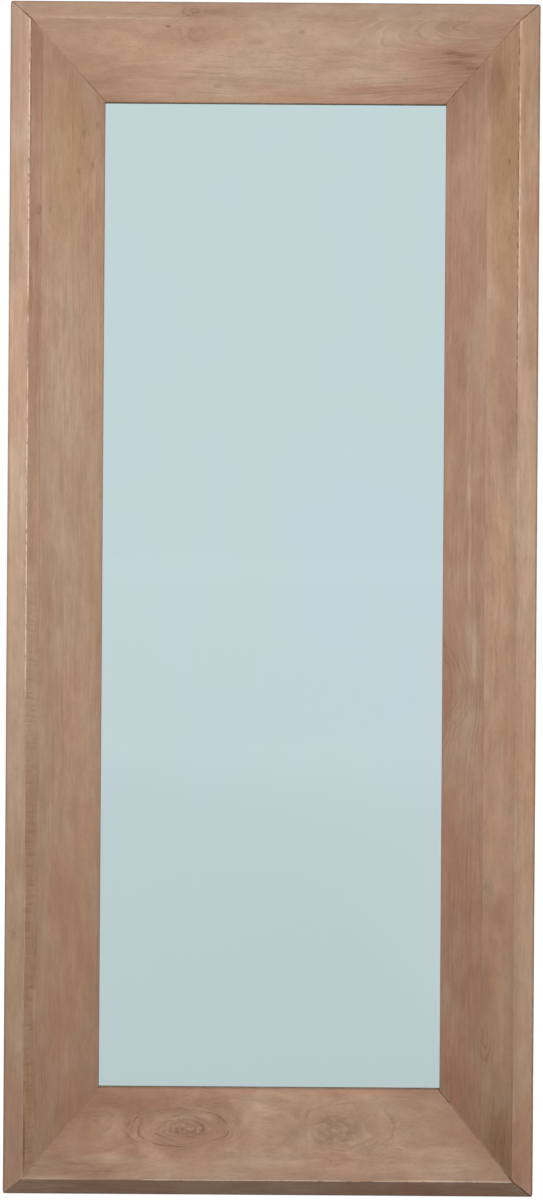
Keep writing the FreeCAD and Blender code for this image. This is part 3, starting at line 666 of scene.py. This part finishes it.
dress("left_stile_inner_stave", washed_wood(
    "left_inner_wood", "left", srgb(180, 149, 124), srgb(162, 128, 103),
    sawn(5.9, pith=(0.190, -0.030), lean=(0.012, 0.9), ring_width=0.0064,
         wander=0.018, waver=0.004),
    figure=0.35, seams=(0.25, 1.0), glue_line=LEFT_GLUE_LINE, corner_shade=(0.12, 0.25), edge_darkening=0.5,
    streaks=0.10,
    knots=[
        knot(1.600, 0.117, 0.040, 0.018, push=1.6, ovals=7.0, eye=0.2, tone=0.2),
        pin_knot(1.628, 0.1236, 0.7, 0.007),
        pin_knot(1.610, 0.1039, 0.6, 0.007),
        pin_knot(1.565, 0.1163, 0.6, 0.006),
        pin_knot(1.552, 0.0968, 0.6, 0.006),
        pin_knot(1.486, 0.0588, 0.9, 0.005),
        knot(1.47, 0.075, 0.040, 0.014, push=1.4, ovals=3.0, eye=0.1, tone=0.25),
    ],
    stains=[
        (GOLD_WOOD, 0.70, 0.4, (1.57, 0.085), 0.17, 0.040),
        (PALE_WOOD, 0.30, 0.3, (1.15, 0.085), 0.35, 0.030),
        (PALE_WOOD, 0.20, 0.4, (0.75, 0.090), 0.25, 0.030),
        (WARM_WOOD, 0.55, 0.3, (0.45, 0.095), 0.55, 0.040),
        (RED_WOOD, 0.44, 0.3, (0.24, 0.095), 0.36, 0.050),
        (DEEP_WOOD, 0.16, 0.4, (0.585, 0.090), 0.050, 0.020),
        (RED_WOOD, 0.30, 0.6, (0.480, 0.078), 0.080, 0.014),
    ],
))


# Right stile
# Two planks glued edge to edge like the left one, but with the glue line further in. The inner
# plank has a wavy figure beside the glass.

RIGHT_GLUE_LINE = FRAME_WIDTH / 2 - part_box("right_stile_ridge_stave")[0].x

dress("right_stile_ridge_stave", washed_wood(
    "right_ridge_wood", "right", srgb(180, 147, 121), srgb(162, 127, 101),
    sawn(9.4, pith=(-0.040, 0.010), lean=(0.006, 0.9), ring_width=0.0060,
         wander=0.016, waver=0.004),
    figure=0.4, seams=(1.7, 1.0), glue_line=RIGHT_GLUE_LINE, crease=0.8, crease_from=1.16,
    ridge_shade=0.12, wear_and_highlight=0.60, wear_and_highlight_span=(1.30, 9.0), corner_shade=(0.30, 0.26), edge_darkening=0.65,
    knots=[
        pin_knot(1.561, 0.045, 1.6, 0.004),
        knot(0.464, 0.069, 0.016, 0.008, push=0.8, ovals=2.5, eye=0.6, tone=0.6),
        knot(0.235, 0.070, 0.050, 0.012, push=2.2, ovals=5.0, eye=0.01, tone=0.8),
    ],
    stains=[
        (GOLD_WOOD, 0.75, 0.4, (1.56, 0.048), 0.26, 0.030),
        # Painted shade: darkens the slope near the top corner.
        (DEEP_WOOD, 0.24, 0.4, (1.60, 0.050), 0.15, 0.026),
        (DEEP_WOOD, 0.42, 0.3, (1.675, 0.064), 0.060, 0.016),
        # Painted shade: darkens the upper part of the outer bevel.
        (DEEP_WOOD, 0.30, 0.2, (1.62, 0.008), 0.56, 0.024),
        (GOLD_WOOD, 0.60, 0.5, (1.61, 0.014), 0.12, 0.026),
        (DEEP_WOOD, 0.30, 0.5, (1.63, 0.014), 0.09, 0.026),
        (RED_WOOD, 0.55, 0.3, (1.52, 0.006), 0.22, 0.006),
        (PALE_WOOD, 0.55, 0.2, (0.88, 0.010), 0.38, 0.022),
        # Painted light: lightens the lower part of the outer bevel.
        (WARM_WOOD, 0.80, 0.1, (0.34, 0.008), 0.56, 0.026),
        (PALE_WOOD, 0.40, 0.1, (0.36, 0.012), 0.18, 0.022),
        (RED_WOOD, 0.46, 0.1, (0.04, 0.012), 0.13, 0.030),
        # Painted light: lightens the outer bevel low down.
        (PALE_WOOD, 0.40, 0.1, (0.20, 0.012), 0.06, 0.026),
        (WARM_WOOD, 0.46, 0.1, (0.62, 0.050), 0.50, 0.030),
        (DEEP_WOOD, 0.20, 0.2, (1.22, 0.048), 0.20, 0.026),
        (PALE_WOOD, 0.20, 0.2, (0.61, 0.048), 0.12, 0.026),
        (RED_WOOD, 0.45, 0.3, (0.38, 0.055), 0.12, 0.022),
        (DEEP_WOOD, 0.20, 0.2, (0.435, 0.055), 0.036, 0.024),
        # A dark line just past the ridge near the foot: painted shade.
        (DEEP_WOOD, 0.55, 0.4, (0.130, 0.0330), 0.100, 0.0013),
        # A pale line on the ridge: partly wear, partly painted highlight.
        (WORN_AND_HIGHLIT_WOOD, 0.45, 0.5, (0.110, 0.0316), 0.090, 0.0011),
        (DEEP_WOOD, 0.25, 0.4, (0.310, 0.070), 0.050, 0.014),
        (DEEP_WOOD, 0.12, 0.3, (0.185, 0.056), 0.030, 0.012),
        (GOLD_WOOD, 0.80, 0.3, (0.09, 0.056), 0.13, 0.028),
        (RED_WOOD, 0.35, 0.3, (0.06, 0.050), 0.10, 0.026),
        (DEEP_WOOD, 0.54, 0.8, (0.08, 0.048), 0.12, 0.024),
    ],
))
dress("right_stile_inner_stave", washed_wood(
    "right_inner_wood", "right", srgb(170, 136, 114), srgb(151, 115, 93),
    sawn(12.8, pith=(0.150, -0.050), lean=(0.030, 0.9), ring_width=0.0066,
         wander=0.022, waver=0.005),
    figure=0.5, rings=0.2, seams=(1.7, 1.0), glue_line=RIGHT_GLUE_LINE, corner_shade=(0.18, 0.34),
    edge_darkening=0.65, streaks=0.085, fleck=0.09,
    knots=[
        knot(0.765, 0.142, 0.105, 0.066, push=-5.5, ovals=14.0, eye=0.01, tone=0.5),
    ],
    stains=[
        (RED_WOOD, 0.10, 0.2, (1.45, 0.112), 0.22, 0.026),
        (RED_WOOD, 0.42, 0.2, (0.40, 0.085), 0.22, 0.034),
        (RED_WOOD, 0.24, 0.2, (0.87, 0.112), 0.09, 0.026),
        (DEEP_WOOD, 0.12, 0.2, (1.27, 0.112), 0.08, 0.030),
        (DEEP_WOOD, 0.10, 0.3, (1.18, 0.112), 0.20, 0.030),
        (PALE_WOOD, 0.50, 0.5, (0.97, 0.096), 0.16, 0.0030),
        (PALE_WOOD, 0.70, 0.6, (0.82, 0.088), 0.07, 0.0040),
        (PALE_WOOD, 0.50, 0.8, (1.15, 0.098), 0.16, 0.005),
        (PALE_WOOD, 0.35, 0.4, (0.70, 0.100), 0.20, 0.030),
        (RED_WOOD, 0.40, 0.2, (0.90, 0.128), 0.75, 0.010),
        (DEEP_WOOD, 0.10, 0.5, (0.30, 0.100), 0.30, 0.040),
        (RED_WOOD, 0.35, 0.2, (0.19, 0.110), 0.16, 0.030),
    ],
))


# Mitre dowels
# Beech pegs, two to each corner. They are glued into holes across the mitres, out of sight
# inside the wood.

beech, tree, place = new_material("beech_dowel")
flecks = noise(tree, place, (700.0, 700.0, 700.0), detail=3.0)
rays = noise(tree, place, (90.0, 1400.0, 90.0), detail=3.0)
colour = tinted(tree, srgb(214, 178, 132), fade(tree, rays, 0.4, 0.7), srgb(188, 146, 104))
colour = tinted(tree, colour, fade(tree, flecks, 0.58, 0.7, 0.0, 0.5), srgb(142, 100, 66))
roughness = maths(tree, "MULTIPLY_ADD", flecks, 0.2, 0.5)
give_finish(tree, colour, roughness, rays, strength=0.4, depth=0.0002)
dress("mitre_dowels", beech)


# Silvered glass
# A 4 mm pane with ground edges, laid in its rebate against the lip. Its back is silvered and
# painted, so that the front is a mirror with the faint green cast of float glass. Its colour also
# holds a painted reflection of pale blue-grey surroundings, with a painted bluish patch and faint
# bluish blotches.

GLASS_TINT_AND_REFLECTION = (0.538, 0.668, 0.682, 1.0)
COOL_REFLECTION_TINT = (0.542, 0.666, 0.712, 1.0)
DUSTY_CAST = (0.60, 0.68, 0.68, 1.0)
COOL_REFLECTION_PATCH = {"Place": (0.90, 0.15, 0.0), "Long": 0.30, "Wide": 0.16}
ARRIS = 0.0006
STRAIGHT_ON = 0.99


def new_piece(name):
    """The object that the last operator added, ready in edit mode with all of it selected."""
    piece = bpy.context.object
    piece.name = name
    bpy.ops.object.mode_set(mode="EDIT")
    bpy.ops.mesh.select_all(action="SELECT")
    return piece


low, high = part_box("mirror_glass")
bpy.ops.object.select_all(action="DESELECT")
bpy.ops.mesh.primitive_cube_add(size=1.0, location=(low + high) / 2, scale=high - low)
pane = new_piece("silvered_glass")
bpy.ops.mesh.bevel(offset=ARRIS, segments=2)
bpy.ops.mesh.normals_make_consistent(inside=False)
bpy.ops.object.mode_set(mode="OBJECT")
bpy.ops.object.transform_apply(location=True, rotation=True, scale=True)

silver, tree, place = new_material("silvered_glass_front")
haze = noise(tree, place, (7.0, 7.0, 5.0), detail=4.0, roughness=0.6)
specks = noise(tree, place, (900.0, 900.0, 900.0), detail=1.0)
dust = maths(tree, "ADD", fade(tree, haze, 0.35, 0.7, 0.0, 0.6),
             fade(tree, specks, 0.7, 0.8, 0.0, 0.4))
parts = split(tree, place)
# A bluish patch and faint bluish blotches on the silver: painted reflection.
settings = {"Vector": vector_of(tree, parts["Z"], parts["X"]), **COOL_REFLECTION_PATCH}
cool_reflection = put(tree, "Group", settings, node_tree=STAIN).outputs["Mask"]
uneven = noise(tree, place, (9.0, 9.0, 6.0), seed=9.1, detail=3.0)
cool_reflection = maths(tree, "MULTIPLY_ADD", cool_reflection, 0.70, fade(tree, uneven, 0.48, 0.64, 0.0, 0.5))
colour = tinted(tree, GLASS_TINT_AND_REFLECTION, cool_reflection, COOL_REFLECTION_TINT)
colour = tinted(tree, colour, times(tree, dust, 0.10), DUSTY_CAST)
inputs = give_finish(tree, colour, maths(tree, "MULTIPLY_ADD", dust, 0.035, 0.012))
inputs["Metallic"].default_value = 1.0

ground, tree, place = new_material("ground_glass_edge")
grit = noise(tree, place, (1500.0, 1500.0, 1500.0))
colour = tinted(tree, srgb(92, 140, 126), grit, srgb(150, 184, 172))
give_finish(tree, colour, maths(tree, "MULTIPLY_ADD", grit, 0.3, 0.35))

backing_paint, tree, place = new_material("mirror_backing_paint")
rolled = noise(tree, place, (220.0, 220.0, 60.0), detail=3.0)
colour = tinted(tree, srgb(88, 98, 96), rolled, srgb(112, 122, 118))
give_finish(tree, colour, maths(tree, "MULTIPLY_ADD", rolled, 0.2, 0.45))

FRONT_FINISH, EDGE_FINISH, BACK_FINISH = 0, 1, 2
for material in (silver, ground, backing_paint):
    pane.data.materials.append(material)
for face in pane.data.polygons:
    face.material_index = EDGE_FINISH
    if face.normal.y < -STRAIGHT_ON:
        face.material_index = FRONT_FINISH
    if face.normal.y > STRAIGHT_ON:
        face.material_index = BACK_FINISH
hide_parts("mirror_glass")
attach(pane, "mirror")


# Blocks, packers and foam
# Rubber blocks carry and centre the pane in its rebate, and a thin sheet of white foam presses it
# against the lip. None of them shows once the mirror is put together.

rubber, tree, place = new_material("block_rubber")
bloom = noise(tree, place, (400.0, 400.0, 400.0), detail=4.0, roughness=0.65)
colour = tinted(tree, srgb(44, 44, 45), fade(tree, bloom, 0.4, 0.75), srgb(78, 78, 78))
roughness = maths(tree, "MULTIPLY_ADD", bloom, 0.25, 0.6)
give_finish(tree, colour, roughness, bloom, strength=0.3, depth=0.0001)
dress("setting_blocks", rubber)
dress("edge_packers", rubber)

foam, tree, place = new_material("white_foam")
cells = put(tree, "TexVoronoi", {"Vector": place, "Scale": 900.0}).outputs["Distance"]
colour = tinted(tree, srgb(232, 232, 228), cells, srgb(198, 198, 194))
roughness = maths(tree, "MULTIPLY_ADD", cells, 0.2, 0.7)
give_finish(tree, colour, roughness, cells, strength=0.5, depth=0.0003)
dress("foam_sheet", foam)


# Backing board
# Brown hardboard let into the back, with its smooth side out. It shows pressed fibres and scuffs,
# and it is screwed to the step that it lies on.

hardboard, tree, place = new_material("brown_hardboard")
pulp = noise(tree, place, (420.0, 420.0, 420.0), detail=5.0, roughness=0.7)
shreds = noise(tree, place, (1700.0, 1700.0, 260.0))
damp = noise(tree, place, (4.0, 4.0, 3.0), detail=3.0)
scuffs = noise(tree, place, (500.0, 60.0, 9.0), detail=4.0, roughness=0.6)
colour = tinted(tree, srgb(134, 98, 68), fade(tree, pulp, 0.35, 0.65), srgb(110, 77, 52))
colour = tinted(tree, colour, fade(tree, shreds, 0.6, 0.72, 0.0, 0.35), srgb(172, 138, 102))
colour = tinted(tree, colour, fade(tree, damp, 0.45, 0.65, 0.0, 0.25), srgb(92, 64, 44))
colour = tinted(tree, colour, fade(tree, scuffs, 0.66, 0.74, 0.0, 0.25), srgb(168, 136, 104))
roughness = fade(tree, pulp, 0.3, 0.7, 0.42, 0.62)
give_finish(tree, colour, roughness, pulp, strength=0.3, depth=0.0001)
dress("backing_board", hardboard)


# Corner plates
# L-shaped zinc-plated steel, let in flush with the back across each mitre and screwed down. The
# plating shows the spangle of zinc, fine scratches and dull fingered patches.

def handled_metal_group():
    """Spangle of zinc, fine scratches and dull fingered patches on plated steel."""
    tree, taken, given = new_group(
        "handled_metal", ("Vector", "Spangle Size"), ("Spangle", "Scratches", "Dull")
    )
    place = taken["Vector"]
    scale = maths(tree, "DIVIDE", 1.0, taken["Spangle Size"])
    cells = put(tree, "TexVoronoi", {"Vector": place, "Scale": scale})
    one_way = noise(tree, place, (60.0, 60.0, 2600.0))
    other_way = noise(tree, place, (2600.0, 60.0, 60.0))
    dull = noise(tree, place, (60.0, 60.0, 60.0), detail=4.0, roughness=0.6)
    give(tree, given, {
        "Spangle": split(tree, cells.outputs["Color"])[0],
        "Scratches": maths(tree, "MAXIMUM", fade(tree, one_way, 0.64, 0.72),
                           fade(tree, other_way, 0.68, 0.74)),
        "Dull": fade(tree, dull, 0.4, 0.68),
    })
    return tree


METAL = handled_metal_group()
BARE_STEEL = srgb(226, 227, 228)


def plated_steel(name, bright, deep, spangle_size, spangle):
    made, tree, place = new_material(name)
    settings = {"Vector": place, "Spangle Size": spangle_size}
    seen = put(tree, "Group", settings, node_tree=METAL).outputs
    colour = tinted_in_turn(tree, bright, (
        (seen["Spangle"], spangle, deep),
        (seen["Dull"], 0.35, deep),
        (seen["Scratches"], 0.3, BARE_STEEL),
    ))
    roughness = maths(tree, "MULTIPLY_ADD", seen["Dull"], 0.18, 0.30)
    roughness = maths(tree, "MULTIPLY_ADD", seen["Spangle"], 0.10, roughness)
    inputs = give_finish(tree, colour, roughness, seen["Scratches"], strength=0.25, depth=0.00005)
    inputs["Metallic"].default_value = 1.0
    return made


zinc = plated_steel("zinc_plated_steel", srgb(206, 208, 210), srgb(150, 154, 158), 0.0035, 0.8)
for level in ("bottom", "top"):
    for side in ("left", "right"):
        dress("corner_plate_" + level + "_" + side, zinc)


# Screws of the corner plates
# Countersunk steel screws, yellow zinc plated, with a cross recess. They hold the plates down
# flush with the wood, and each is turned as it stopped.

yellow_zinc = plated_steel("yellow_zinc", srgb(214, 196, 140), srgb(168, 146, 98), 0.0012, 0.5)
SCREW_TURNS = (0.4, 1.9, 3.1, 0.9, 2.6, 1.2)
SCREW_SIDES = 32
TIP_SHARE = 0.04
CROSS_SPAN, CROSS_SLOT = 1.15, 0.24
CROSS_DEPTH, CROSS_TAPER = 1.3, 0.55
SMOOTH_UNDER = math.radians(40)


def countersunk_screw(name, head, sink, shank, length, point):
    """One screw with its head up and flat at the origin, and a cross recess cut into the head."""
    bpy.ops.object.select_all(action="DESELECT")
    bpy.ops.mesh.primitive_circle_add(vertices=SCREW_SIDES, radius=head, fill_type="NGON")
    body = new_piece(name)
    for down, kept in ((sink, shank / head), (length - sink - point, 1.0), (point, TIP_SHARE)):
        bpy.ops.mesh.extrude_region_move(TRANSFORM_OT_translate={"value": (0.0, 0.0, -down)})
        bpy.ops.transform.resize(value=(kept, kept, 1.0))
    bpy.ops.mesh.select_all(action="SELECT")
    bpy.ops.mesh.normals_make_consistent(inside=False)
    bpy.ops.object.mode_set(mode="OBJECT")
    body.data.materials.append(yellow_zinc)
    span, slot = head * CROSS_SPAN, head * CROSS_SLOT
    for width, height in ((span, slot), (slot, span)):
        bpy.ops.object.select_all(action="DESELECT")
        bpy.ops.mesh.primitive_cube_add(size=1.0, scale=(width, height, sink * CROSS_DEPTH))
        cutter = new_piece(name + "_bit")
        bpy.ops.mesh.select_all(action="DESELECT")
        bpy.ops.object.mode_set(mode="OBJECT")
        for face in cutter.data.polygons:
            face.select = face.normal.z < -0.5
        bpy.ops.object.mode_set(mode="EDIT")
        bpy.ops.transform.resize(value=(CROSS_TAPER, CROSS_TAPER, 1.0))
        bpy.ops.object.mode_set(mode="OBJECT")
        cut = body.modifiers.new("recess", "BOOLEAN")
        cut.operation = "DIFFERENCE"
        cut.object = cutter
        cut.solver = "EXACT"
        bpy.context.view_layer.objects.active = body
        bpy.ops.object.modifier_apply(modifier=cut.name)
        bpy.data.objects.remove(cutter)
    return body


def screw_axes(node):
    """Where the screws of a CAD node stand, from their points, and the height of their heads."""
    low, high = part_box(node)
    points = {(round(v.co.x, 4), round(v.co.z, 4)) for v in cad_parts[node].data.vertices
              if v.co.y < low.y + 0.00001}
    return [Vector((x, high.y, z)) for x, z in sorted(points)]


def drive(pattern, names):
    """Copies of the screw wherever each node has one, joined to one piece that replaces the node.
    The pattern itself goes once it is copied."""
    for node, name in names.items():
        copies = []
        for count, head in enumerate(screw_axes(node)):
            copy = bpy.data.objects.new(name, pattern.data.copy())
            bpy.context.scene.collection.objects.link(copy)
            turned = Matrix.Rotation(SCREW_TURNS[count % len(SCREW_TURNS)], 4, "Z")
            laid = Matrix.Translation(head) @ Matrix.Rotation(-math.pi / 2, 4, "X")
            copy.data.transform(laid @ turned)
            copies.append(copy)
        bpy.ops.object.select_all(action="DESELECT")
        for copy in copies:
            copy.select_set(True)
        bpy.context.view_layer.objects.active = copies[0]
        bpy.ops.object.join()
        bpy.ops.object.shade_smooth_by_angle(angle=SMOOTH_UNDER)
        piece = bpy.context.object
        piece.name = name
        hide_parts(node)
        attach(piece, "mirror")
    bpy.data.objects.remove(pattern)


drive(
    countersunk_screw("plate_screw", head=0.0036, sink=0.0024, shank=0.00175, length=0.017,
                      point=0.004),
    {"corner_plate_screws": "plate_cross_screws"},
)


# Screws of the backing board
# The same kind of screw, smaller, all round the board. They go through its edge into the step
# that it lies on.

drive(
    countersunk_screw("board_screw", head=0.0034, sink=0.0022, shank=0.0016, length=0.016,
                      point=0.004),
    {"backing_screws": "board_cross_screws"},
)


# Strap hangers
# A zinc-plated strap folded round a wire D-ring, in a routed pocket of each stile, and held by
# three longer screws. The ring swings up over the wall hook.

for side in ("left", "right"):
    dress(side + "_hanger_strap", zinc)
    dress(side + "_hanger_ring", zinc)
drive(
    countersunk_screw("hanger_screw", head=0.0039, sink=0.0025, shank=0.0020, length=0.032,
                      point=0.005),
    {side + "_hanger_screws": side + "_strap_cross_screws" for side in ("left", "right")},
)


# Studio
# A pale floor under the mirror and white all round. A large soft lamp stands on either side of the
# camera at head height, so that the frame is darker towards its foot, and a third lights the back.
# Seen in the glass, the floor is painted darker near the mirror, which darkens the glass towards
# its
# foot: painted shade.

FLOOR_SIZE = 40.0
FLOOR_DROP = 0.0005
FAR_TO_MIDDLE = (-19.0, -4.0)
MIDDLE_TO_NEAR = (-3.3, -0.85)
FLOOR_PAINT = (0.28, 0.27, 0.26, 1.0)
FAR_FLOOR = (0.873, 0.873, 0.875, 1.0)
MIDDLE_FLOOR = (0.852, 0.848, 0.852, 1.0)
NEAR_FLOOR_SHADE_IN_MIRROR = (0.638, 0.630, 0.628, 1.0)
LAMPS = {
    "left_lamp": ((-1.35, -1.25, 1.70), 28.0),
    "right_lamp": ((1.45, -1.35, 1.70), 26.0),
    "back_lamp": ((0.5, 2.4, 1.60), 60.0),
}
LAMP_WIDTH, LAMP_HEIGHT = 0.9, 1.2
LAMPS_AIM = Vector((0.0, 0.0, 1.2))
SKY_ON_OBJECT = 0.40


def looked_at(tree):
    """One where a ray comes from the camera, a mirror or glass, and nought on other rays."""
    path = put(tree, "LightPath").outputs
    seen = maths(tree, "MAXIMUM", path["Is Camera Ray"], path["Is Glossy Ray"])
    return maths(tree, "MAXIMUM", seen, path["Is Transmission Ray"])


bpy.ops.object.select_all(action="DESELECT")
bpy.ops.mesh.primitive_plane_add(size=FLOOR_SIZE, location=(0.0, 0.0, -FLOOR_DROP))
floor = bpy.context.object
floor.name = "floor"
floor_paint, tree, place = new_material("pale_floor")
shader = tree.nodes["Principled BSDF"]
shader.inputs["Base Color"].default_value = FLOOR_PAINT
shader.inputs["Roughness"].default_value = 0.95
shader.inputs["Specular IOR Level"].default_value = 0.1
y = split(tree, place)["Y"]
mirrored = put(tree, "LightPath").outputs["Is Glossy Ray"]
# The floor's glow is a little darker from far to middle, and seen in the glass it is darker still
# near the mirror: painted shade.
near = times(tree, fade(tree, y, *MIDDLE_TO_NEAR), mirrored)
colour = tinted(tree, FAR_FLOOR, fade(tree, y, *FAR_TO_MIDDLE), MIDDLE_FLOOR)
colour = tinted(tree, colour, near, NEAR_FLOOR_SHADE_IN_MIRROR)
glow = put(tree, "Emission", {"Color": colour, "Strength": looked_at(tree)})
both = put(tree, "AddShader", {0: shader.outputs[0], 1: glow.outputs[0]})
tree.links.new(both.outputs[0], tree.nodes["Material Output"].inputs["Surface"])
floor.data.materials.append(floor_paint)
floor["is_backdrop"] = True

scene = bpy.context.scene
scene.world = bpy.data.worlds.new("studio")
scene.world.use_nodes = True
tree = scene.world.node_tree
tree.nodes.clear()
strength = maths(tree, "MULTIPLY_ADD", looked_at(tree), 1.0 - SKY_ON_OBJECT, SKY_ON_OBJECT)
sky = put(tree, "Background", {"Color": (1.0, 1.0, 1.0, 1.0), "Strength": strength})
tree.links.new(sky.outputs[0], put(tree, "OutputWorld").inputs["Surface"])

for name, (place, power) in LAMPS.items():
    lamp = bpy.data.lights.new(name, "AREA")
    lamp.shape = "RECTANGLE"
    lamp.size, lamp.size_y = LAMP_WIDTH, LAMP_HEIGHT
    lamp.energy = power
    stand = bpy.data.objects.new(name, lamp)
    stand.location = place
    stand.rotation_euler = (LAMPS_AIM - Vector(place)).to_track_quat("-Z", "Y").to_euler()
    stand.visible_glossy = False
    scene.collection.objects.link(stand)


# Camera
# As the photo was taken, about 1.8 m in front of the ridge and a little above the middle. The
# picture's axis is off its centre, so the lens is shifted, and the camera leans by 0.4 degrees.

CAMERA_BEFORE_RIDGE = 1.775
CAMERA_X = 0.0363
CAMERA_Z = 1.0446
PHOTO_WIDTH, PHOTO_HEIGHT = 543, 1200
SENSOR = 36.0
FOCAL_PIXELS = 1187.1
AXIS_PIXEL = (296.4, 503.1)
ROLL = math.radians(0.395)

eye = bpy.data.cameras.new("camera")
eye.sensor_width = SENSOR
eye.lens = SENSOR * FOCAL_PIXELS / PHOTO_HEIGHT
eye.shift_x = (PHOTO_WIDTH / 2 - AXIS_PIXEL[0]) / PHOTO_HEIGHT
eye.shift_y = (AXIS_PIXEL[1] - PHOTO_HEIGHT / 2) / PHOTO_HEIGHT
camera = bpy.data.objects.new("camera", eye)
camera.location = (CAMERA_X, cad_low.y - CAMERA_BEFORE_RIDGE, CAMERA_Z)
facing = Matrix.Rotation(math.pi / 2, 3, "X") @ Matrix.Rotation(ROLL, 3, "Z")
camera.rotation_euler = facing.to_euler()
scene.collection.objects.link(camera)
scene.camera = camera
scene.view_settings.view_transform = "Standard"

low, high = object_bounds()
